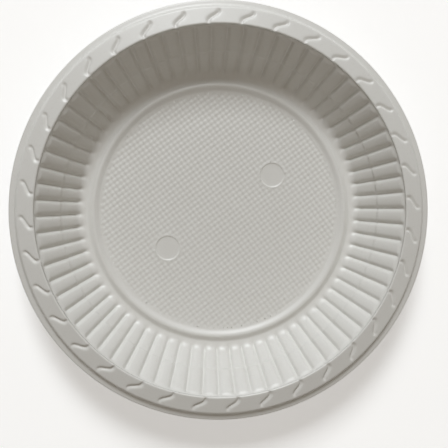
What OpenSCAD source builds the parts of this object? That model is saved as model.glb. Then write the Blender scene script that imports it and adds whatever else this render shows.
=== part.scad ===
// Round moulded plate: a flat floor inside a raised ring, a fluted wall, and a
// sloping rim with S-shaped marks, all pressed from one sheet of even thickness.
// Millimetres, +Z up. The origin is the middle of the ring the plate stands on.

/* [Plate] */
// Diameter over the outer edge
plate_d = 180; // [172:1:230]
// Height from the table to the top of the rim
plate_h = 23; // [16:0.5:34]
// Thickness of the sheet
sheet_t = 0.9; // [0.7:0.05:1.3]

/* [Floor] */
// Diameter of the flat floor inside the ring
floor_d = 110; // [80:1:118]
// How far the floor lies above the channel around it
floor_lift = 0.5; // [0.2:0.1:1.5]
// Width of the raised ring
ring_w = 4.4; // [3:0.2:6]
// Height of the raised ring above the floor
ring_h = 0.7; // [0.3:0.1:1.2]

/* [Floor discs] */
// Diameter of each sunk disc
disc_d = 10.7; // [6:0.1:16]
// Depth of each sunk disc
disc_depth = 0.4; // [0.2:0.05:0.5]
// Distance between the middles of the two discs
disc_gap = 58; // [30:1:60]
// Angle of the line through both discs, from +X
disc_turn = 35; // [0:1:180]

/* [Wall] */
// Width of the channel floor, from the ring to the foot of the wall
channel_w = 2.9; // [2:0.1:5]
// Radius of the bend from the channel into the wall
toe_bend = 2; // [1.5:0.1:3.5]
// Height of the step that crosses the ribs
step_z = 11; // [8:0.5:13]
// How far the wall above the step stands in
step_in = 0.45; // [0.1:0.05:0.6]
// Height that the step takes up
step_rise = 0.9; // [0.8:0.1:1.5]

/* [Flutes] */
// Number of ribs around the wall
flutes = 70; // [50:1:80]
// Depth of the valleys between the ribs
flute_depth = 1.3; // [0.6:0.1:1.6]
// Angle of the first valley, from +X
flute_turn = 1.32; // [0:0.01:7]
// Roundness of a rib: a higher number gives a flatter crest
rib_power = 1.8; // [1.6:0.1:3]
// How far the ribs stand in front of the plain wall under the rim
rib_stand = 0.7; // [0:0.1:1]
// Length over which the ribs run out below the rim, along the wall
close_len = 1.6; // [1.4:0.1:3]

/* [Rim] */
// Radius of the bend at the inner edge of the rim
rim_bend = 0.7; // [0.4:0.1:1]
// Width of the sloping band that carries the marks
band_w = 6.8; // [5:0.1:9]
// How far the band falls towards its outer edge
band_fall = 1.3; // [0.5:0.1:2.5]
// Width taken by the slope down to the flange
drop_w = 1.6; // [1.2:0.1:3]
// Height of the slope down to the flange
drop_h = 1.9; // [1:0.1:3]
// Radius of the bend from the band into that slope
drop_bend = 1.2; // [1:0.1:1.6]
// Width of the narrow flange outside the slope
flange_w = 2.3; // [1.5:0.1:4]
// Radius of the bend from the slope into the flange
flange_bend = 0.5; // [0.3:0.1:1]
// How far the flange falls towards its outer edge
flange_fall = 0.3; // [0:0.1:0.8]

/* [Rim marks] */
// Number of marks around the band
marks = 36; // [24:1:40]
// Angle of the middle of the first mark, from +X
mark_turn = 2.9; // [0:0.1:10]
// Distance from a mark's ends to the edges of the band
mark_margin = 0.3; // [0.2:0.1:1]
// Sideways shift of a mark from its outer end to its inner end
mark_sway = 5; // [2:0.1:6]
// Width of a mark
mark_w = 1.4; // [0.8:0.1:1.5]
// Depth of a mark
mark_depth = 0.4; // [0.2:0.05:0.5]

/* [Hidden] */
$fn = 180;
pulp_white = [0.87, 0.86, 0.82];

// Points along each bend of the floor
bend_steps = 8;
// Points along each bend of the rim
corner_steps = 4;
// Points along each mark
mark_steps = 6;
// Points across each flute
rib_steps = 4;
// Depth of the wall's ends under the skin of the floor and the rim
skin = 0.06;

// Radii of the section, from the outer edge inwards
edge_r = plate_d / 2;
flange_r = edge_r - flange_w;
band_r = flange_r - drop_w;
rim_r = band_r - band_w;

// Radii of the section, from the middle outwards
floor_r = floor_d / 2;
ring_r = floor_r + ring_w / 2;
channel_r = floor_r + ring_w + channel_w;

// Heights of the upper side
floor_z = sheet_t + floor_lift;
band_z = plate_h - band_fall;
flange_z = band_z - drop_h;

// The crests rise straight from the toe bend to a line that stands in front of the rim
toe_mid = [channel_r, sheet_t + toe_bend];
rim_edge = [rim_r, plate_h];
toe_to_rim = rim_edge - toe_mid;
wall_a = atan2(toe_to_rim[1], toe_to_rim[0])
    + asin((toe_bend - step_in + rib_stand) / norm(toe_to_rim));
up_wall = [cos(wall_a), sin(wall_a)];
off_wall = [-sin(wall_a), cos(wall_a)];

// Distance from the ends of the channel to the flat foot under it
foot_in = 0.3;
// Angle on the toe bend where the revolved floor gives way to the fluted wall
join_a = 24;
// Length of plain wall between the flutes and the bend of the rim
lip = 1.4;
// Depth to which the fluted wall reaches into the rim
socket = 0.5;

// Slope of the band, and the length that the bend at its inner edge takes off the wall
band_a = atan2(band_fall, band_w);
rim_cut = rim_bend * tan((wall_a + band_a) / 2);
flutes_end = rim_cut + lip;

// Point of the toe bend at an angle, and the direction that faces the dish there
function toe_point(a) = toe_mid + toe_bend * [sin(a), -cos(a)];
function toe_out(a) = [-sin(a), cos(a)];

// Point of the lower and of the upper wall at a height
function lower_wall(z) = toe_point(wall_a) + up_wall * (z - toe_point(wall_a)[1]) / up_wall[1];
function upper_wall(z) =
    let (crest = rim_edge + rib_stand * off_wall)
    crest + up_wall * (z - crest[1]) / up_wall[1];

// Smooth rise from 0 to 1
function ease(t) = t * t * (3 - 2 * t);

// Direction square to the way from a to b, which faces up where the way runs outwards
function square_up(a, b) = [a[1] - b[1], b[0] - a[0]] / norm(b - a);
function turned(v, a) = [v[0] * cos(a) - v[1] * sin(a), v[0] * sin(a) + v[1] * cos(a)];

// Place of corner i on the underside, where both sides lie one sheet thickness lower
function corner_below(path, i) =
    let (
        end = len(path) - 1,
        before = square_up(path[max(i - 1, 0)], path[max(i, 1)]),
        after = square_up(path[min(i, end - 1)], path[min(i + 1, end)])
    ) path[i] - sheet_t * (before + after) / (1 + before * after);

// Angle by which a path turns up (more than 0) or down at corner i
function turn_at(path, i) =
    i == 0 || i == len(path) - 1 ? 0 :
    let (here = path[i] - path[i - 1], next = path[i + 1] - path[i])
    atan2(here[0] * next[1] - here[1] * next[0], here * next);

// Points of a bend at corner i, or the corner itself where it has no radius
function bend_at(path, i, radius) =
    let (turn = turn_at(path, i))
    radius * abs(turn) == 0 ? [path[i]] :
    let (
        inwards = sign(turn) * square_up(path[i - 1], path[i]),
        back = (path[i - 1] - path[i]) / norm(path[i] - path[i - 1]),
        middle = path[i] + radius * (tan(abs(turn) / 2) * back + inwards)
    ) [for (k = [0 : corner_steps]) middle - radius * turned(inwards, turn * k / corner_steps)];

function bent(path, radii) = [for (i = [0 : len(path) - 1]) each bend_at(path, i, radii[i])];

// Radius under the sheet: smaller under a crest, larger under a hollow
function radius_below(path, i, radius) =
    radius == 0 ? 0 : max(radius + sign(turn_at(path, i)) * sheet_t, 0);

// Turns a path of the upper side, with the radius at each corner, into a ring of sheet
module pressed_ring(path, radii) {
    last = len(path) - 1;
    above = bent(path, radii);
    below = bent(
        [for (i = [0 : last]) corner_below(path, i)],
        [for (i = [0 : last]) radius_below(path, i, radii[i])]
    );
    rotate_extrude()
        polygon(concat(above, [for (i = [len(below) - 1 : -1 : 0]) below[i]]));
}

// Upper side from the middle of the floor to the start of the fluted wall
floor_path = concat(
    [[0, floor_z], [floor_r, floor_z]],
    [for (i = [1 : bend_steps]) [
        floor_r + ring_w / 2 * i / bend_steps,
        floor_z + ring_h * ease(i / bend_steps)
    ]],
    [for (i = [1 : bend_steps]) [
        ring_r + ring_w / 2 * i / bend_steps,
        sheet_t + (floor_lift + ring_h) * ease(1 - i / bend_steps)
    ]],
    [for (r = [floor_r + ring_w + foot_in, channel_r - foot_in]) [r, sheet_t]],
    [for (i = [0 : bend_steps]) toe_point(join_a * i / bend_steps)]
);

// Corners of the upper side from the end of the flutes to the outer edge, and their bends
rim_path = [
    rim_edge - flutes_end * up_wall,
    rim_edge,
    [band_r, band_z],
    [flange_r, flange_z],
    [edge_r, flange_z - flange_fall]
];
rim_bends = [0, rim_bend, drop_bend, flange_bend, 0];

module pressed_floor() {
    difference() {
        pressed_ring(floor_path, [for (p = floor_path) 0]);
        for (side = [0, 180])
            rotate(disc_turn + side)
                translate([disc_gap / 2, 0, floor_z - disc_depth])
                    cylinder(d = disc_d, h = disc_depth + 1);
    }
}

// Stations up the fluted wall: the crest of the ribs, the direction that faces the
// dish, and the depth of the valleys as a share
half_step = step_in / flute_depth / 2;
stations = [
    [toe_point(join_a - 12), toe_out(join_a - 12), 0],
    [toe_point(join_a + 8), toe_out(join_a + 8), 0.3],
    [toe_point(wall_a) + 0.3 * up_wall, off_wall, 1],
    [lower_wall(step_z), off_wall, 1 - half_step],
    [upper_wall(step_z + step_rise), off_wall, 1 + half_step],
    [rim_edge + rib_stand * off_wall - (flutes_end + close_len) * up_wall, off_wall, 1],
    [rim_edge - (flutes_end - socket) * up_wall, off_wall, 0]
];
last_station = len(stations) - 1;
columns = flutes * rib_steps;

// Share of the valley depth at a column: 1 in the valley, 0 on the crest
function valley(column) = pow(abs(1 - 2 * (column % rib_steps) / rib_steps), rib_power);

// Height of a surface point over the crest of its station; the ends lie under the skin
function sunk(i, under) =
    let (cover = i == 0 || i == last_station ? skin : 0)
    under ? cover - sheet_t : -cover;

function wall_point(i, column, under) =
    let (
        s = stations[i],
        down = s[2] * flute_depth * valley(column),
        p = s[0] + s[1] * (sunk(i, under) - down),
        a = flute_turn + 360 * column / columns
    ) [p[0] * cos(a), p[0] * sin(a), p[1]];

// Loft around the axis: up the side of the dish, and back down the outside
module fluted_wall() {
    loops = 2 * len(stations);
    points = [
        for (k = [0 : loops - 1]) for (column = [0 : columns - 1])
            wall_point(k <= last_station ? k : loops - 1 - k, column, k > last_station)
    ];
    faces = [
        for (k = [0 : loops - 1]) for (column = [0 : columns - 1])
            let (
                here = k * columns,
                there = (k + 1) % loops * columns,
                turn = (column + 1) % columns
            )
            each [
                [here + column, here + turn, there + turn],
                [here + column, there + turn, there + column]
            ]
    ];
    polyhedron(points = points, faces = faces, convexity = 8);
}

// Middle line of a mark at a share of its length, outer end first
mark_from = band_r - mark_margin;
mark_to = rim_r + mark_margin;
function mark_line(t) = [
    mark_from + (mark_to - mark_from) * t,
    mark_sway * (ease(t) - 0.5)
];
function mark_side(t, side) =
    let (along = mark_line(min(t + 0.01, 1)) - mark_line(max(t - 0.01, 0)))
    mark_line(t) + side * mark_w / 2 * [-along[1], along[0]] / norm(along);

module mark_outline() {
    polygon(concat(
        [for (i = [0 : mark_steps]) mark_side(i / mark_steps, 1)],
        [for (i = [mark_steps : -1 : 0]) mark_side(i / mark_steps, -1)]
    ));
}

// Skin of the band, as deep as the marks, from which the marks are taken
module band_skin() {
    rotate_extrude()
        polygon([
            [rim_r, plate_h - mark_depth],
            [band_r, band_z - mark_depth],
            [band_r, band_z + 1],
            [rim_r, plate_h + 1]
        ]);
}

module pressed_rim() {
    difference() {
        pressed_ring(rim_path, rim_bends);
        intersection() {
            band_skin();
            for (i = [0 : marks - 1])
                rotate(mark_turn + 360 * i / marks)
                    translate([0, 0, band_z - drop_h])
                        linear_extrude(height = plate_h)
                            mark_outline();
        }
    }
}

module plate() {
    color(pulp_white)
        union() {
            pressed_floor();
            fluted_wall();
            pressed_rim();
        }
}

plate();
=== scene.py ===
"""Round moulded plate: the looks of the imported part, and the stage that it is seen on."""

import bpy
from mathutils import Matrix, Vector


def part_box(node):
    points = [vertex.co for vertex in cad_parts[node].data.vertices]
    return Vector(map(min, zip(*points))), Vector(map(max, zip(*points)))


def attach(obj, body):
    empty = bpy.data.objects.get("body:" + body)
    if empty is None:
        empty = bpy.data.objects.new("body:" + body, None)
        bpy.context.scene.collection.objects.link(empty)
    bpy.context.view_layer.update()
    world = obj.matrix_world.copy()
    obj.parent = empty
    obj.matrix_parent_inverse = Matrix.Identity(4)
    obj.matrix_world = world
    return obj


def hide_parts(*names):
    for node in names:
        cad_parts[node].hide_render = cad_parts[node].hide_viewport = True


bl_info = {
    "name": "Moulded Plate",
    "version": (1, 0, 0),
    "blender": (4, 5, 0),
    "location": "3D View > Sidebar > Plate",
    "description": "Presses a round fluted plate and lights it on a pale table",
    "category": "Add Mesh",
}

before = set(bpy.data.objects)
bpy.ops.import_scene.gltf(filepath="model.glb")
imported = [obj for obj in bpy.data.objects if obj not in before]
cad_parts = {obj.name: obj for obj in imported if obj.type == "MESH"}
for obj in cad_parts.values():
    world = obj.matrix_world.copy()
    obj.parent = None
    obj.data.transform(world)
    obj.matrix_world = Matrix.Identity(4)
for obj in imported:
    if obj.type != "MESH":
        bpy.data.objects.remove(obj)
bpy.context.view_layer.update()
plate_low, plate_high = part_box("plate")

import math

import bpy
import numpy as np
from mathutils import Matrix, Vector

# The mesh is worked out in millimetres and scaled at the end
MM = 0.001


# Sizes, colours and light

class PlateSizes(bpy.types.PropertyGroup):
    """Sizes of the plate and of its pressed details"""

    plate_d: bpy.props.FloatProperty(
        name="Diameter", description="Diameter over the outer edge",
        default=plate_high[0] - plate_low[0], min=0.1, unit="LENGTH", subtype="DISTANCE")
    plate_h: bpy.props.FloatProperty(
        name="Height", description="Height from the table to the top of the rim",
        default=plate_high[2] - plate_low[2], min=0.01, unit="LENGTH", subtype="DISTANCE")
    sheet_t: bpy.props.FloatProperty(
        name="Sheet", description="Thickness of the sheet",
        default=0.0009, min=0.0005, unit="LENGTH", subtype="DISTANCE")

    floor_d: bpy.props.FloatProperty(
        name="Floor", description="Diameter of the flat floor inside the ring",
        default=0.1078, unit="LENGTH", subtype="DISTANCE")
    floor_lift: bpy.props.FloatProperty(
        name="Floor lift", description="How far the floor lies above the channel around it",
        default=0.0003, unit="LENGTH", subtype="DISTANCE")
    ring_w: bpy.props.FloatProperty(
        name="Ring width", description="Width of the raised ring",
        default=0.0060, unit="LENGTH", subtype="DISTANCE")
    ring_h: bpy.props.FloatProperty(
        name="Ring height", description="Height of the raised ring above the floor",
        default=0.0011, unit="LENGTH", subtype="DISTANCE")

    waffle_pitch: bpy.props.FloatProperty(
        name="Waffle pitch", description="Distance between the lines of the waffle grain",
        default=0.00211, min=0.001, unit="LENGTH", subtype="DISTANCE")
    waffle_depth: bpy.props.FloatProperty(
        name="Waffle depth", description="Depth of the lines of the waffle grain",
        default=0.00018, min=0.0, unit="LENGTH", subtype="DISTANCE")
    waffle_turn: bpy.props.FloatProperty(
        name="Waffle turn", description="Angle of the lines of the waffle grain, from +X",
        default=math.radians(35.8), unit="ROTATION", subtype="ANGLE")

    disc_d: bpy.props.FloatProperty(
        name="Disc", description="Diameter of each sunk disc",
        default=0.0107, unit="LENGTH", subtype="DISTANCE")
    disc_depth: bpy.props.FloatProperty(
        name="Disc depth", description="Depth of each sunk disc",
        default=0.0003, unit="LENGTH", subtype="DISTANCE")
    disc_gap: bpy.props.FloatProperty(
        name="Disc gap", description="Distance between the middles of the two discs",
        default=0.058, unit="LENGTH", subtype="DISTANCE")
    disc_turn: bpy.props.FloatProperty(
        name="Disc turn", description="Angle of the line through both discs, from +X",
        default=math.radians(35.0), unit="ROTATION", subtype="ANGLE")

    channel_w: bpy.props.FloatProperty(
        name="Channel", description="Width of the level floor of the channel",
        default=0.0002, unit="LENGTH", subtype="DISTANCE")
    toe_bend: bpy.props.FloatProperty(
        name="Toe bend", description="Radius of the bend from the channel into the wall",
        default=0.005, unit="LENGTH", subtype="DISTANCE")
    step_z: bpy.props.FloatProperty(
        name="Step height", description="Height of the step that crosses the ribs",
        default=0.0102, unit="LENGTH", subtype="DISTANCE")
    step_in: bpy.props.FloatProperty(
        name="Step depth", description="How far the wall above the step stands in",
        default=0.00045, unit="LENGTH", subtype="DISTANCE")
    step_rise: bpy.props.FloatProperty(
        name="Step rise", description="Height that the step takes up",
        default=0.0009, unit="LENGTH", subtype="DISTANCE")

    flutes: bpy.props.IntProperty(
        name="Ribs", description="Number of ribs around the wall", default=70, min=3)
    flute_depth: bpy.props.FloatProperty(
        name="Valley depth", description="Depth of the valleys between the ribs",
        default=0.00115, unit="LENGTH", subtype="DISTANCE")
    flute_turn: bpy.props.FloatProperty(
        name="First valley", description="Angle of the first valley, from +X",
        default=math.radians(1.32), unit="ROTATION", subtype="ANGLE")
    rib_crown: bpy.props.FloatProperty(
        name="Rib crown", description="Share of the valley depth that the round of a rib gives",
        default=0.5, min=0.0, max=1.0, subtype="FACTOR")
    valley_w: bpy.props.FloatProperty(
        name="Valley width", description="Share of the flute that the narrow valley takes",
        default=0.44, min=0.1, max=1.0, subtype="FACTOR")
    close_len: bpy.props.FloatProperty(
        name="Rib end", description="Length over which the ribs run out below the rim",
        default=0.0018, unit="LENGTH", subtype="DISTANCE")
    rib_stand: bpy.props.FloatProperty(
        name="Rib stand", description="How far the ribs stand in front of the wall under the rim",
        default=0.0004, unit="LENGTH", subtype="DISTANCE")
    lip: bpy.props.FloatProperty(
        name="Lip", description="Length of plain wall between the ribs and the rim",
        default=0.0006, unit="LENGTH", subtype="DISTANCE")

    rim_bend: bpy.props.FloatProperty(
        name="Rim bend", description="Radius of the bend at the inner edge of the rim",
        default=0.0007, unit="LENGTH", subtype="DISTANCE")
    band_w: bpy.props.FloatProperty(
        name="Band", description="Width of the sloping band that carries the marks",
        default=0.0068, unit="LENGTH", subtype="DISTANCE")
    band_fall: bpy.props.FloatProperty(
        name="Band fall", description="How far the band falls towards its outer edge",
        default=0.0013, unit="LENGTH", subtype="DISTANCE")
    drop_w: bpy.props.FloatProperty(
        name="Drop width", description="Width taken by the bend down to the flange",
        default=0.0016, unit="LENGTH", subtype="DISTANCE")
    drop_h: bpy.props.FloatProperty(
        name="Drop height", description="Height of the bend down to the flange",
        default=0.0019, unit="LENGTH", subtype="DISTANCE")
    flange_w: bpy.props.FloatProperty(
        name="Flange", description="Width of the narrow flange outside the bend",
        default=0.0023, unit="LENGTH", subtype="DISTANCE")
    flange_fall: bpy.props.FloatProperty(
        name="Flange fall", description="How far the flange falls towards its outer edge",
        default=0.0003, unit="LENGTH", subtype="DISTANCE")

    marks: bpy.props.IntProperty(
        name="Marks", description="Number of marks around the band", default=36, min=3)
    mark_turn: bpy.props.FloatProperty(
        name="First mark", description="Angle of the middle of the first mark, from +X",
        default=math.radians(2.9), unit="ROTATION", subtype="ANGLE")
    mark_sway: bpy.props.FloatProperty(
        name="Mark sway", description="Sideways shift of a mark from its outer to its inner end",
        default=0.0046, unit="LENGTH", subtype="DISTANCE")
    mark_w: bpy.props.FloatProperty(
        name="Mark width", description="Width of a mark",
        default=0.0024, unit="LENGTH", subtype="DISTANCE")
    mark_depth: bpy.props.FloatProperty(
        name="Mark depth", description="Depth of a mark",
        default=0.0006, unit="LENGTH", subtype="DISTANCE")


class PulpFinish(bpy.types.PropertyGroup):
    """Finish of the moulded pulp"""

    color: bpy.props.FloatVectorProperty(
        name="Colour", description="Colour of the moulded pulp",
        default=(0.80, 0.795, 0.77), min=0.0, max=1.0, size=3, subtype="COLOR")
    deep_color: bpy.props.FloatVectorProperty(
        name="Mottle colour", description="Colour of the denser spots in the pulp",
        default=(0.745, 0.735, 0.70), min=0.0, max=1.0, size=3, subtype="COLOR")
    roughness: bpy.props.FloatProperty(
        name="Roughness", description="Roughness of the pressed surface",
        default=0.40, min=0.0, max=1.0, subtype="FACTOR")
    grain_height: bpy.props.FloatProperty(
        name="Grain height", description="Height of the finest grain of the surface",
        default=0.00003, min=0.0, unit="LENGTH", subtype="DISTANCE")


class StageLight(bpy.types.PropertyGroup):
    """Table, lamps and the light of the room"""

    table_color: bpy.props.FloatVectorProperty(
        name="Table", description="Colour of the table top",
        default=(0.92, 0.92, 0.92), min=0.0, max=1.0, size=3, subtype="COLOR")
    table_lift: bpy.props.FloatProperty(
        name="Table lift", description="How much whiter the table shows than its light makes it",
        default=0.42, min=0.0, max=1.0, subtype="FACTOR")
    window_color: bpy.props.FloatVectorProperty(
        name="Window colour", description="Colour of the lamp behind the plate",
        default=(0.94, 0.975, 1.0), min=0.0, max=1.0, size=3, subtype="COLOR")
    window_power: bpy.props.FloatProperty(
        name="Window", description="Power of the large soft lamp behind the plate",
        default=106.0, min=0.0, unit="POWER")
    fill_power: bpy.props.FloatProperty(
        name="Fill", description="Power of the weak lamp above the plate",
        default=0.9, min=0.0, unit="POWER")
    room_color: bpy.props.FloatVectorProperty(
        name="Room colour", description="Colour of the even light of the room",
        default=(1.0, 0.85, 0.66), min=0.0, max=1.0, size=3, subtype="COLOR")
    room_level: bpy.props.FloatProperty(
        name="Room", description="Strength of the even light of the room",
        default=0.13, min=0.0)


# Section of the plate

# Places across one flute, from one valley to the next, on the upper and the under side
RIB_SAMPLES = np.array([0, 0.05, 0.1, 0.15, 0.21, 0.33, 0.5, 0.67, 0.79, 0.85, 0.9, 0.95])
UNDER_RIB_SAMPLES = np.array([0, 0.1, 0.22, 0.5, 0.78, 0.9])
# Rows up the wall, as shares of the stretch below the step, of the step, of the stretch
# above it and of the rib ends
LOW_ROWS = np.array([0, 0.07, 0.16, 0.28, 0.45, 0.64, 0.82, 0.95])
STEP_ROWS = np.array([0.05, 0.3, 0.5, 0.7, 0.95, 1.25])
HIGH_ROWS = np.array([0.16, 0.36, 0.57, 0.78, 0.93])
END_ROWS = np.array([0, 0.2, 0.4, 0.6, 0.8, 1])
# Rows of the toe bend, as shares of its turn
TOE_ROWS = np.array([0, 0.2, 0.4, 0.6, 0.8])
UNDER_TOE_ROWS = np.array([0, 0.34, 0.67])
# The toe bend is tighter by this share under a valley
VALLEY_BEND_LOSS = 0.25
# Length of wall, in mm, over which the rows shift to meet the toe bend
TOE_SHIFT_LEN = 4
# Share of the step that the bottom of a valley takes; the rest it gains evenly up the wall
VALLEY_STEP = 0.5

# Steps of each half of the ring's section, on the upper and the under side
RING_STEPS, UNDER_RING_STEPS = 6, 4
# Columns of the plain rings
RING_COLUMNS = 360
DISC_COLUMNS = 56
UNDER_COLUMNS = 240

# Places across one cell of the waffle grain, and the share of the groove depth there
WAFFLE_PLACES = np.array([0, 0.22, 0.5, 0.78])
WAFFLE_GROOVE = np.array([1, 0.3, 0, 0.3])
# Depth share of the weaker of the two sets of lines
WEAK_LINES = 0.9
# Plain strips between the waffle and the ring or a disc, and the grain's soft border, in mm
RING_STRIP, DISC_STRIP = 0.55, 0.75
SOFT_FROM, SOFT_LEN = -0.3, 0.7
# Rings of a disc, as distances out from its edge in mm, and the share of its depth there
DISC_STEPS = [(-2.2, 1), (-0.45, 1), (-0.2, 0.88), (0, 0.5), (0.17, 0.1), (0.3, 0)]

# Places across one mark's share of the band, as distances from its middle line in mm
MARK_SAMPLES = np.array([-4.2, -2.2, -1.3, -0.9, -0.6, -0.3, 0,
                         0.35, 0.7, 1.05, 1.45, 1.9, 2.5, 3.5, 5.0])
# Shares of a mark's width on either side of its middle line
STEEP_FLANK, SOFT_FLANK = 0.37, 0.63
# Shares of the band, from its outer edge, between which a mark sways to the side
SWAY_FROM, SWAY_TO = 0.22, 0.82
# A mark deepens over the first of these stretches of the band and grows shallower over
# the second; each is a place, as a share of the band, and a length
DEEPEN_FROM, DEEPEN_LEN = 0.02, 0.3
FADE_FROM, FADE_LEN = 0.8, 0.2
# Depth share of a mark at the bend of the rim, and of its ridge under the band
MARK_END, MARK_RIDGE = 0.6, 0.6

# Rows of the rim bend, the band, the drop to the flange and the edge
RIM_BEND_ROWS = np.linspace(0, 1, 6)
BAND_ROWS = np.array([0.06, 0.13, 0.22, 0.32, 0.42, 0.52, 0.62, 0.72, 0.8, 0.87, 0.93, 1])
UNDER_BAND_ROWS = (0.1, 0.25, 0.4, 0.55, 0.7, 0.82)
DROP_ROWS = (0.17, 0.34, 0.5, 0.66, 0.83, 1)
UNDER_DROP_ROWS = (0.7, 0.5, 0.3, 0.08)
EDGE_ROWS = np.linspace(0, 1, 7)
# Gaps between a corner of the underside and the row next to it, in mm
UNDER_FLANGE_GAP, UNDER_RIM_GAP = 0.25, 0.1


def ease(share):
    """Smooth rise from 0 to 1."""
    share = np.clip(share, 0, 1)
    return share * share * (3 - 2 * share)


def ease_slope(share):
    """Slope of that rise."""
    return 6 * share * (1 - share)


class Section:
    """Section of the plate in millimetres, from the values of the panel."""

    def __init__(self, sizes):
        for name in PlateSizes.__annotations__:
            value = getattr(sizes, name)
            is_length = sizes.bl_rna.properties[name].unit == "LENGTH"
            setattr(self, name, value / MM if is_length else value)
        self.flange_r = self.plate_d / 2 - self.flange_w
        self.band_r = self.flange_r - self.drop_w
        self.rim_r = self.band_r - self.band_w
        self.floor_r = self.floor_d / 2
        self.ring_r = self.floor_r + self.ring_w / 2
        self.channel_r = self.floor_r + self.ring_w + self.channel_w
        self.floor_z = self.sheet_t + self.floor_lift
        self.band_z = self.plate_h - self.band_fall
        self.flange_z = self.band_z - self.drop_h
        self.place_wall()
        self.place_rim()
        self.place_rows()

    def place_wall(self):
        """Finds the slope that touches the toe bend and ends at the rim."""
        toe_mid = np.array([self.channel_r, self.sheet_t + self.toe_bend])
        self.rim_edge = np.array([self.rim_r, self.plate_h])
        across = self.rim_edge - toe_mid
        self.wall_a = math.atan2(across[1], across[0]) + math.asin(
            (self.toe_bend - self.step_in + self.rib_stand) / math.hypot(*across))
        self.up_wall = np.array([math.cos(self.wall_a), math.sin(self.wall_a)])
        self.off_wall = np.array([-math.sin(self.wall_a), math.cos(self.wall_a)])
        self.wall_foot = toe_mid + self.toe_bend * np.array(
            [math.sin(self.wall_a), -math.cos(self.wall_a)])
        self.wall_len = float(np.dot(self.rim_edge - self.wall_foot, self.up_wall))

    def place_rim(self):
        """Finds the bend between the wall and the band."""
        self.band_a = math.atan2(self.band_fall, self.band_w)
        self.band_along = np.array([math.cos(self.band_a), -math.sin(self.band_a)])
        self.band_out = np.array([math.sin(self.band_a), math.cos(self.band_a)])
        turn = self.wall_a + self.band_a
        self.rim_cut = self.rim_bend * math.tan(turn / 2)
        self.rim_mid = (self.rim_edge - self.rim_cut * self.up_wall
                        - self.rim_bend * self.off_wall)
        lean = (self.wall_a - self.band_a) / 2
        self.under_corner = self.rim_edge - self.sheet_t / math.cos(turn / 2) * np.array(
            [-math.sin(lean), math.cos(lean)])

    def place_rows(self):
        """Finds the rows of the wall, as distances up it, close at the step and the rim."""
        self.step_from = (self.step_z - self.wall_foot[1]) / self.up_wall[1]
        self.step_to = self.step_from + self.step_rise / self.up_wall[1]
        top = self.wall_len - self.rim_cut
        self.close_from = top - self.lip - self.close_len
        self.rows = np.concatenate((
            self.step_from * LOW_ROWS,
            self.step_from + (self.step_to - self.step_from) * STEP_ROWS,
            self.step_to + (self.close_from - self.step_to) * HIGH_ROWS,
            self.close_from + self.close_len * END_ROWS,
            [top]))

    def valley(self, share):
        """Share of the valley depth, from a crest (0) to a valley (1), which is the narrower."""
        groove = ease((abs(share) - 1 + self.valley_w) / self.valley_w)
        return self.rib_crown * share ** 2 + (1 - self.rib_crown) * float(groove)

    def wall_offset(self, along, share):
        """How far the fluted wall stands off its lower crest line, towards the dish."""
        valley = self.valley(share)
        step = ease((along - self.step_from) / (self.step_to - self.step_from))
        drift = np.clip(along / self.wall_len, 0, 1)
        crest = self.step_in * step
        trough = (self.step_in * (VALLEY_STEP * step + (1 - VALLEY_STEP) * drift)
                  - self.flute_depth)
        rib = crest + valley * (trough - crest)
        plain = self.step_in - self.rib_stand
        return rib + (plain - rib) * ease((along - self.close_from) / self.close_len)

    def wall_column(self, share, under):
        """Section of the toe bend and the wall, at a place between a crest and a valley."""
        depth = self.flute_depth * self.valley(share)
        bend = self.toe_bend * (1 - VALLEY_BEND_LOSS * share)
        start = (self.sheet_t + bend - self.wall_foot[1]
                 + (depth - bend) * self.off_wall[1]) / self.up_wall[1]
        middle = self.wall_foot + (bend - depth) * self.off_wall + start * self.up_wall
        radius = bend + (self.sheet_t if under else 0)
        turns = self.wall_a * (UNDER_TOE_ROWS if under else TOE_ROWS)
        toe = middle + radius * np.column_stack((np.sin(turns), -np.cos(turns)))
        along = self.rows + start * np.clip(1 - self.rows / TOE_SHIFT_LEN, 0, 1)
        if under:
            along = along[::2]
        off = self.wall_offset(along, share) - (self.sheet_t if under else 0)
        wall = self.wall_foot + along[:, None] * self.up_wall + off[:, None] * self.off_wall
        return np.vstack((toe, wall))


# Mesh of the sheet

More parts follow.
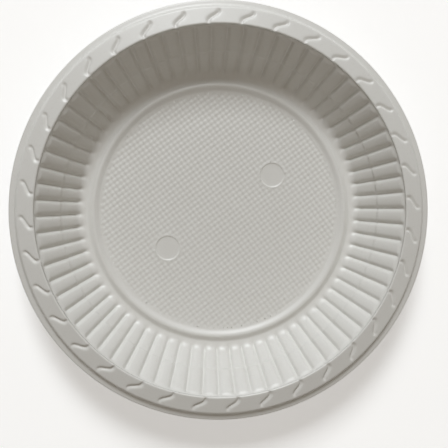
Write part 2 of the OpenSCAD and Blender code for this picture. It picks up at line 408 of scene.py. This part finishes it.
class SheetMesh:
    """Collects rings of points and the faces between them."""

    def __init__(self):
        self.points = []
        self.faces = []
        self.total = 0

    def add(self, points, middle=(0, 0)):
        """Adds points, and returns their numbers and their angles around the middle."""
        numbers = np.arange(self.total, self.total + len(points))
        self.points.append(np.asarray(points, float))
        self.total += len(points)
        return numbers, np.arctan2(points[:, 1] - middle[1], points[:, 0] - middle[0])

    def circle(self, radius, height, columns, middle=(0, 0)):
        """Adds a plain level ring."""
        turns = 2 * np.pi * np.arange(columns) / columns
        return self.add(np.column_stack((
            middle[0] + radius * np.cos(turns), middle[1] + radius * np.sin(turns),
            np.full(columns, height))), middle)

    def bridge(self, inner, outer):
        """Joins two rings, matched by number where they have as many points."""
        first, second = inner[0], outer[0]
        if len(first) == len(second):
            self.faces += np.column_stack(
                (first, second, np.roll(second, -1), np.roll(first, -1))).tolist()
        else:
            self.stitch(inner, outer)

    def stitch(self, inner, outer):
        """Joins two rings of different numbers of points, matched by angle."""
        first, first_turn = inner
        second, second_turn = outer
        full = 2 * np.pi
        nearest = np.argmin(np.abs((second_turn - first_turn[0] + np.pi) % full - np.pi))
        second, second_turn = np.roll(second, -nearest), np.roll(second_turn, -nearest)
        lead = (second_turn[0] - first_turn[0] + np.pi) % full - np.pi
        a = np.append((first_turn - first_turn[0]) % full, full)
        b = np.append(lead + (second_turn - second_turn[0]) % full, lead + full)
        i = j = 0
        while i < len(first) or j < len(second):
            here, there = first[i % len(first)], second[j % len(second)]
            if j == len(second) or (i < len(first) and a[i] + a[i + 1] < b[j] + b[j + 1]):
                i += 1
                self.faces.append([here, there, first[i % len(first)]])
            else:
                j += 1
                self.faces.append([here, there, second[j % len(second)]])

    def close(self, ring, point, facing_up):
        """Closes a ring with a fan to one point."""
        middle = self.add(np.array([point], float))[0][0]
        after = np.roll(ring[0], -1)
        for here, there in zip(ring[0], after):
            self.faces.append([middle, here, there] if facing_up else [middle, there, here])

    def build(self, name):
        """Makes the Blender mesh, in metres."""
        mesh = bpy.data.meshes.new(name)
        mesh.from_pydata((np.vstack(self.points) * MM).tolist(), [], self.faces)
        mesh.validate()
        mesh.polygons.foreach_set("use_smooth", [True] * len(mesh.polygons))
        mesh.update()
        return mesh


def waffle_lines(section):
    """Places of the grid lines across the floor, and the groove share of each."""
    cells = math.ceil(section.floor_r / section.waffle_pitch) + 1
    index = np.arange(-4 * cells, 4 * cells + 1)
    return (section.waffle_pitch * (index // 4 + WAFFLE_PLACES[index % 4]),
            WAFFLE_GROOVE[index % 4])


def disc_middles(section):
    """Middles of the two sunk discs."""
    reach = section.disc_gap / 2
    return [np.array([reach * math.cos(a), reach * math.sin(a)])
            for a in (section.disc_turn, section.disc_turn + math.pi)]


def border_loops(quads):
    """Closed loops of the points around a patch of quads, with the patch on the left."""
    edges = np.vstack([quads[:, [k, (k + 1) % 4]] for k in range(4)])
    there = {(a, b) for a, b in edges.tolist()}
    after = {a: b for a, b in there if (b, a) not in there}
    loops = []
    while after:
        start, point = next(iter(after.items()))
        del after[start]
        loop = [start]
        while point != start:
            loop.append(point)
            point = after.pop(point)
        loops.append(np.array(loop))
    return loops


def press_floor(mesh, section):
    """Waffled floor with its two discs; returns its outer border."""
    line, groove = waffle_lines(section)
    cos, sin = math.cos(section.waffle_turn), math.sin(section.waffle_turn)
    gx, gy = np.meshgrid(line, line, indexing="ij")
    x, y = gx * cos - gy * sin, gx * sin + gy * cos
    discs = disc_middles(section)
    disc_edge = section.disc_d / 2 + DISC_STRIP

    def room_at(x, y):
        """Distance to the border of the waffled part, which is left out beyond it."""
        room = section.floor_r - RING_STRIP - np.hypot(x, y)
        for middle in discs:
            room = np.minimum(room, np.hypot(x - middle[0], y - middle[1]) - disc_edge)
        return room

    depth = section.waffle_depth * (WEAK_LINES * groove[:, None] + groove[None, :])
    z = section.floor_z - depth * ease((room_at(x, y) - SOFT_FROM) / SOFT_LEN)

    size = len(line)
    corner = np.arange(size * size).reshape(size, size)
    quads = np.stack((corner[:-1, :-1], corner[1:, :-1], corner[1:, 1:], corner[:-1, 1:]), -1)
    middle_x = (x[:-1, :-1] + x[1:, 1:]) / 2
    middle_y = (y[:-1, :-1] + y[1:, 1:]) / 2
    quads = quads[room_at(middle_x, middle_y) > 0]
    used = np.unique(quads)
    points = np.column_stack((x.ravel(), y.ravel(), z.ravel()))[used]
    numbers, _ = mesh.add(points)
    number_at = np.full(size * size, -1)
    number_at[used] = numbers
    quads = number_at[quads]
    mesh.faces += quads.tolist()

    place = dict(zip(numbers.tolist(), points))
    border = None
    for loop in border_loops(quads):
        spots = np.array([place[n] for n in loop.tolist()])
        middle = spots[:, :2].mean(0)
        if np.hypot(*middle) < disc_edge:
            border = loop, np.arctan2(spots[:, 1], spots[:, 0])
            continue
        middle = min(discs, key=lambda d: np.hypot(*(d - middle)))
        turn = np.arctan2(spots[:, 1] - middle[1], spots[:, 0] - middle[0])
        press_disc(mesh, section, middle, (loop[::-1], turn[::-1]))
    return border


def press_disc(mesh, section, middle, around):
    """Sunk disc with a soft edge, joined to the floor around it."""
    radius, depth = section.disc_d / 2, section.disc_depth
    rings = [mesh.circle(radius + out, section.floor_z - depth * share, DISC_COLUMNS, middle)
             for out, share in DISC_STEPS]
    mesh.close(rings[0], (middle[0], middle[1], section.floor_z - depth), True)
    for inner, outer in zip(rings, rings[1:] + [around]):
        mesh.bridge(inner, outer)


def ring_profile(section, steps):
    """Raised ring and channel, from the floor's border to the channel."""
    share = np.arange(0, steps + 1) / steps
    inside = np.column_stack((
        section.floor_r + section.ring_w / 2 * share,
        section.floor_z + section.ring_h * ease(share)))
    outside = np.column_stack((
        section.ring_r + section.ring_w / 2 * share,
        section.sheet_t + (section.floor_lift + section.ring_h) * ease(1 - share)))[1:]
    channel = [[section.channel_r - section.channel_w / 2, section.sheet_t]]
    return np.vstack((inside, outside, channel))


def wall_rings(mesh, section, samples, under):
    """Rings of the fluted wall, from the toe bend up."""
    columns = [section.wall_column(abs(1 - 2 * f), under) for f in samples]
    shape = np.stack(columns)
    count = len(samples)
    turns = section.flute_turn + 2 * np.pi / section.flutes * (
        np.repeat(np.arange(section.flutes), count) + np.tile(samples, section.flutes))
    rings = []
    for row in range(shape.shape[1]):
        r, z = np.tile(shape[:, row, 0], section.flutes), np.tile(shape[:, row, 1], section.flutes)
        rings.append(mesh.add(np.column_stack((r * np.cos(turns), r * np.sin(turns), z))))
    return rings


class RimPress:
    """Adds the rings of the rim, with the marks in them."""

    def __init__(self, mesh, section):
        self.mesh, self.section = mesh, section
        self.rings = []
        self.band_len = math.hypot(section.band_w, section.band_fall)
        self.set_columns()

    def set_columns(self):
        """Angles of the columns across all marks, and their distances from the nearest mark."""
        section = self.section
        mean_r = (section.rim_r + section.band_r) / 2
        pitch = 2 * np.pi / section.marks
        between = np.append(MARK_SAMPLES, pitch * mean_r / 2)
        self.beside = np.tile(between, section.marks)
        self.turns = (section.mark_turn + pitch * np.repeat(np.arange(section.marks), len(between))
                      + self.beside / mean_r)

    def ring(self, point, out, inward=0, groove=0):
        """Adds a ring; inward is the share of the way across the band, from its outer edge."""
        section = self.section
        sway = min(max((inward - SWAY_FROM) / (SWAY_TO - SWAY_FROM), 0), 1)
        lean = math.atan(ease_slope(sway) * section.mark_sway / section.band_w
                         / (SWAY_TO - SWAY_FROM))
        reach = section.mark_w * np.where(self.beside < 0, STEEP_FLANK, SOFT_FLANK)
        away = np.minimum(np.abs(self.beside) * math.cos(lean) / reach, 1)
        cut = groove * section.mark_depth * (0.5 + 0.5 * np.cos(np.pi * away))
        r = point[0] - cut * out[0]
        z = point[1] - cut * out[1]
        turn = self.turns + section.mark_sway * (float(ease(sway)) - 0.5) / point[0]
        self.rings.append(self.mesh.add(
            np.column_stack((r * np.cos(turn), r * np.sin(turn), z))))

    def groove_share(self, inward):
        """Depth share of a mark along its length."""
        fade = (1 - MARK_END) * ease((inward - FADE_FROM) / FADE_LEN)
        return float(ease((inward - DEEPEN_FROM) / DEEPEN_LEN) * (1 - fade))

    def drop_spot(self, share):
        """Point of the drop from the band to the flange."""
        section = self.section
        return np.array([section.band_r + section.drop_w * share,
                         section.band_z - section.drop_h * float(ease(share))])

    def press_band(self):
        """Upper side: the bend, the band and the drop."""
        section = self.section
        for share in RIM_BEND_ROWS:
            a = section.wall_a - share * (section.wall_a + section.band_a)
            out = np.array([-math.sin(a), math.cos(a)])
            self.ring(section.rim_mid + section.rim_bend * out, out, 1, MARK_END * share)
        for length in section.rim_cut + (self.band_len - section.rim_cut) * BAND_ROWS:
            inward = 1 - length / self.band_len
            self.ring(section.rim_edge + length * section.band_along, section.band_out,
                      inward, self.groove_share(inward))
        for share in DROP_ROWS:
            self.ring(self.drop_spot(share), section.band_out)

    def press_flange(self):
        """The flange, its round edge and the way back to the drop."""
        section = self.section
        half = section.sheet_t / 2
        fall_a = math.atan2(section.flange_fall, section.flange_w)
        along = np.array([math.cos(fall_a), -math.sin(fall_a)])
        out = np.array([math.sin(fall_a), math.cos(fall_a)])
        flange = np.array([section.flange_r, section.flange_z])
        lip = flange + (section.flange_w - half) / math.cos(fall_a) * along
        self.ring((flange + lip) / 2, out)
        cap = lip - half * out
        for share in EDGE_ROWS:
            a = math.pi * share
            self.ring(cap + half * (math.cos(a) * out + math.sin(a) * along), out)
        self.ring(flange - section.sheet_t * out + UNDER_FLANGE_GAP * along, out)

    def press_under(self):
        """Underside: the drop, the band and the corner below the bend."""
        section = self.section
        for share in UNDER_DROP_ROWS:
            slope = ease_slope(share) * section.drop_h / section.drop_w
            normal = np.array([slope, 1]) / math.hypot(slope, 1)
            self.ring(self.drop_spot(share) - section.sheet_t * normal, section.band_out)
        for inward in UNDER_BAND_ROWS:
            spot = (section.rim_edge + (1 - inward) * self.band_len * section.band_along
                    - section.sheet_t * section.band_out)
            self.ring(spot, section.band_out, inward, MARK_RIDGE * self.groove_share(inward))
        self.ring(section.under_corner + UNDER_RIM_GAP * section.band_along, section.band_out, 1)


def rim_rings(mesh, section):
    """Rings of the rim, from the wall round the edge and back to the wall."""
    press = RimPress(mesh, section)
    press.press_band()
    press.press_flange()
    press.press_under()
    return press.rings


def press_sheet(sizes):
    """The whole plate as one closed mesh, from the floor out to the edge and back below."""
    section = Section(sizes)
    mesh = SheetMesh()
    rings = [press_floor(mesh, section)]
    above = ring_profile(section, RING_STEPS)
    rings += [mesh.circle(r, z, RING_COLUMNS) for r, z in above]
    rings += wall_rings(mesh, section, RIB_SAMPLES, False)
    rings += rim_rings(mesh, section)
    rings += wall_rings(mesh, section, UNDER_RIB_SAMPLES, True)[::-1]
    below = ring_profile(section, UNDER_RING_STEPS)[::-1] - [0, section.sheet_t]
    rings += [mesh.circle(r, z, UNDER_COLUMNS) for r, z in below]
    under_z = section.floor_z - section.sheet_t
    rings.append(mesh.circle(section.floor_r / 2, under_z, UNDER_COLUMNS // 4))
    for inner, outer in zip(rings, rings[1:]):
        mesh.bridge(inner, outer)
    mesh.close(rings[-1], (0, 0, under_z), False)
    return mesh.build("plate_sheet")


# Materials

class NodeBoard:
    """Places the nodes of a material or a world and links them."""

    def __init__(self, owner):
        owner.use_nodes = True
        self.tree = owner.node_tree
        self.tree.nodes.clear()

    def feed(self, socket, value):
        """Gives a socket a number, a colour or the output of another node."""
        if isinstance(value, bpy.types.NodeSocket):
            self.tree.links.new(value, socket)
        else:
            socket.default_value = value

    def node(self, kind, *in_order, **by_name):
        """Adds a node, with its settings by name and its inputs in their order or by name."""
        made = self.tree.nodes.new(kind)
        for socket, value in zip(made.inputs, in_order):
            self.feed(socket, value)
        for name, value in by_name.items():
            if hasattr(made, name):
                setattr(made, name, value)
            else:
                self.feed(made.inputs[name.replace("_", " ")], value)
        return made

    def blend(self, share, first, second):
        """Mixes two colours, and returns the mixed one."""
        mix = self.node("ShaderNodeMix", data_type="RGBA", Factor=share)
        colors = [socket for socket in mix.inputs if socket.type == "RGBA"]
        for socket, value in zip(colors, (first, second)):
            self.feed(socket, value)
        return next(socket for socket in mix.outputs if socket.type == "RGBA")


# How far the fibres bend out of line, in metres
FIBRE_BEND = 0.004
# Share of the mottle colour in the broad clouds of the pulp
CLOUD_SHARE = 0.28
# How much the roughness differs from place to place
ROUGHNESS_SWING = 0.07
# Height of the fibres against the finest grain
FIBRE_HEIGHT = 0.8


def pulp_material(finish):
    """Pressed pulp: a faint mottle, short fibres, and a fine uneven skin."""
    pulp = bpy.data.materials.new("moulded_pulp")
    board = NodeBoard(pulp)
    place = board.node("ShaderNodeTexCoord").outputs["Object"]

    cloud = board.node("ShaderNodeTexNoise", Vector=place, Scale=55.0, Detail=4.0, Roughness=0.6)
    grain = board.node("ShaderNodeTexNoise", Vector=place, Scale=1500.0, Detail=3.0,
                       Roughness=0.65)
    bend = board.node("ShaderNodeTexNoise", Vector=place, Scale=240.0, Detail=2.0)
    bent = board.node("ShaderNodeVectorMath", bend.outputs["Color"], (FIBRE_BEND,) * 3, place,
                      operation="MULTIPLY_ADD")
    fibre = board.node("ShaderNodeTexNoise", Vector=bent.outputs[0], Scale=700.0, Detail=2.0,
                       Roughness=0.5, Distortion=1.6)

    clouds = board.node("ShaderNodeMapRange", Value=cloud.outputs["Fac"], From_Min=0.35,
                        From_Max=0.7)
    clouded = [(1 - CLOUD_SHARE) * plain + CLOUD_SHARE * deep
               for plain, deep in zip(finish.color, finish.deep_color)]
    mottle = board.blend(clouds.outputs[0], (*finish.color, 1), (*clouded, 1))
    flecks = board.node("ShaderNodeMapRange", Value=fibre.outputs["Fac"], From_Min=0.56,
                        From_Max=0.74, To_Max=0.55)
    flecked = board.blend(flecks.outputs[0], mottle, (*finish.deep_color, 1))

    sheen = board.node("ShaderNodeMapRange", Value=grain.outputs["Fac"],
                       To_Min=finish.roughness - ROUGHNESS_SWING,
                       To_Max=finish.roughness + ROUGHNESS_SWING)

    relief = board.node("ShaderNodeMath", fibre.outputs["Fac"], FIBRE_HEIGHT,
                        grain.outputs["Fac"], operation="MULTIPLY_ADD")
    skin = board.node("ShaderNodeBump", Height=relief.outputs[0], Strength=0.5,
                      Distance=finish.grain_height)

    surface = board.node("ShaderNodeBsdfPrincipled", Base_Color=flecked,
                         Roughness=sheen.outputs[0], IOR=1.45, Specular_IOR_Level=0.8,
                         Normal=skin.outputs["Normal"])
    board.node("ShaderNodeOutputMaterial", Surface=surface.outputs[0])
    return pulp


def table_material(light):
    """Plain pale table top, which camera, glossy and transmission rays see a little whiter."""
    top = bpy.data.materials.new("table_top")
    board = NodeBoard(top)
    place = board.node("ShaderNodeTexCoord").outputs["Object"]
    tone = board.node("ShaderNodeTexNoise", Vector=place, Scale=6.0, Detail=3.0)
    rough = board.node("ShaderNodeMapRange", Value=tone.outputs["Fac"], To_Min=0.7, To_Max=0.8)
    path = board.node("ShaderNodeLightPath")
    direct = board.node("ShaderNodeMath", path.outputs["Is Camera Ray"],
                        path.outputs["Is Glossy Ray"], operation="MAXIMUM")
    seen = board.node("ShaderNodeMath", direct.outputs[0], path.outputs["Is Transmission Ray"],
                      operation="MAXIMUM")
    lift = board.node("ShaderNodeMath", seen.outputs[0], light.table_lift, operation="MULTIPLY")
    surface = board.node("ShaderNodeBsdfPrincipled", Base_Color=(*light.table_color, 1),
                         Roughness=rough.outputs[0], Specular_IOR_Level=0.2,
                         Emission_Color=(1, 1, 1, 1), Emission_Strength=lift.outputs[0])
    board.node("ShaderNodeOutputMaterial", Surface=surface.outputs[0])
    return top


# Operators

class MESH_OT_press_plate(bpy.types.Operator):
    """Press the plate: one sheet with floor, ring, fluted wall and marked rim"""

    bl_idname = "mesh.press_plate"
    bl_label = "Press Plate"
    bl_options = {"REGISTER", "UNDO"}

    def execute(self, context):
        mesh = press_sheet(context.scene.plate_sizes)
        if not mesh.polygons:
            raise RuntimeError("the plate has no faces")
        mesh.materials.append(pulp_material(context.scene.pulp_finish))
        plate = bpy.data.objects.new("moulded_plate", mesh)
        context.scene.collection.objects.link(plate)
        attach(plate, "root")
        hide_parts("plate")
        return {"FINISHED"}


# Half the side of the table top, and places and sides of the lamps, in metres
TABLE_REACH = 4.0
WINDOW_PLACE, WINDOW_SIDE = (-0.38, 3.08, 2.52), 1.3
FILL_PLACE, FILL_SIDE = (0.25, -0.35, 1.30), 1.2
# Camera: place in metres, tilts in degrees, and focal length and image width in pixels
CAMERA_PLACE = (-0.0212, 0.0060, 0.303)
CAMERA_TILT_X, CAMERA_TILT_Y = 2.23, 4.35
FOCAL_PIXELS, IMAGE_PIXELS = 664.9, 448
SENSOR_WIDTH = 36.0


class SCENE_OT_set_plate_stage(bpy.types.Operator):
    """Set the pale table, the lamps, the light of the room and the camera"""

    bl_idname = "scene.set_plate_stage"
    bl_label = "Set Stage"
    bl_options = {"REGISTER", "UNDO"}

    def execute(self, context):
        scene = context.scene
        light = scene.stage_light
        self.lay_table(scene, light)
        self.hang_lamp(scene, "window", WINDOW_PLACE, WINDOW_SIDE,
                       light.window_power, light.window_color)
        self.hang_lamp(scene, "fill", FILL_PLACE, FILL_SIDE,
                       light.fill_power, light.room_color)
        self.light_room(scene, light)
        self.place_camera(scene)
        scene.view_settings.view_transform = "Standard"
        return {"FINISHED"}

    def lay_table(self, scene, light):
        """Wide table top in the plane that the plate stands on."""
        corners = [(-1, -1), (1, -1), (1, 1), (-1, 1)]
        mesh = bpy.data.meshes.new("table_top")
        mesh.from_pydata([(x * TABLE_REACH, y * TABLE_REACH, 0) for x, y in corners],
                         [], [(0, 1, 2, 3)])
        mesh.materials.append(table_material(light))
        table = bpy.data.objects.new("table_top", mesh)
        scene.collection.objects.link(table)

    def hang_lamp(self, scene, name, place, side, power, color):
        """Square soft lamp that faces the plate."""
        lamp = bpy.data.lights.new(name, "AREA")
        lamp.shape = "SQUARE"
        lamp.size = side
        lamp.energy = power
        lamp.color = color
        holder = bpy.data.objects.new(name, lamp)
        holder.location = place
        holder.rotation_euler = (-Vector(place)).to_track_quat("-Z", "Y").to_euler()
        scene.collection.objects.link(holder)

    def light_room(self, scene, light):
        """Even warm light of the room, which camera and glossy rays see as white."""
        world = bpy.data.worlds.new("room")
        board = NodeBoard(world)
        path = board.node("ShaderNodeLightPath")
        seen = board.node("ShaderNodeMath", path.outputs["Is Camera Ray"],
                          path.outputs["Is Glossy Ray"], operation="MAXIMUM")
        room = board.node("ShaderNodeBackground", Color=(*light.room_color, 1),
                          Strength=light.room_level)
        white = board.node("ShaderNodeBackground", Color=(1, 1, 1, 1))
        mix = board.node("ShaderNodeMixShader", seen.outputs[0], room.outputs[0],
                         white.outputs[0])
        board.node("ShaderNodeOutputWorld", Surface=mix.outputs[0])
        scene.world = world

    def place_camera(self, scene):
        """Camera above the plate and a little to one side, close enough to show perspective."""
        lens = bpy.data.cameras.new("camera")
        lens.sensor_width = SENSOR_WIDTH
        lens.lens = SENSOR_WIDTH * FOCAL_PIXELS / IMAGE_PIXELS
        lens.clip_start = 0.01
        camera = bpy.data.objects.new("camera", lens)
        turn = (Matrix.Rotation(-math.radians(CAMERA_TILT_X), 4, "X")
                @ Matrix.Rotation(-math.radians(CAMERA_TILT_Y), 4, "Y"))
        camera.matrix_world = Matrix.Translation(CAMERA_PLACE) @ turn
        scene.collection.objects.link(camera)
        scene.camera = camera


class VIEW3D_PT_plate(bpy.types.Panel):
    """Sizes, finish and light of the plate"""

    bl_label = "Moulded Plate"
    bl_idname = "VIEW3D_PT_plate"
    bl_space_type = "VIEW_3D"
    bl_region_type = "UI"
    bl_category = "Plate"

    def draw(self, context):
        scene = context.scene
        for group in (scene.plate_sizes, scene.pulp_finish, scene.stage_light):
            box = self.layout.box()
            for name in type(group).__annotations__:
                box.prop(group, name)
        self.layout.operator(MESH_OT_press_plate.bl_idname)
        self.layout.operator(SCENE_OT_set_plate_stage.bl_idname)


CLASSES = (PlateSizes, PulpFinish, StageLight, MESH_OT_press_plate, SCENE_OT_set_plate_stage,
           VIEW3D_PT_plate)


def register():
    for entry in CLASSES:
        bpy.utils.register_class(entry)
    bpy.types.Scene.plate_sizes = bpy.props.PointerProperty(type=PlateSizes)
    bpy.types.Scene.pulp_finish = bpy.props.PointerProperty(type=PulpFinish)
    bpy.types.Scene.stage_light = bpy.props.PointerProperty(type=StageLight)


def unregister():
    for name in ("plate_sizes", "pulp_finish", "stage_light"):
        delattr(bpy.types.Scene, name)
    for entry in reversed(CLASSES):
        bpy.utils.unregister_class(entry)


def main():
    """Makes the plate and its stage."""
    register()
    bpy.ops.mesh.press_plate()
    bpy.ops.scene.set_plate_stage()


if __name__ == "__main__":
    main()
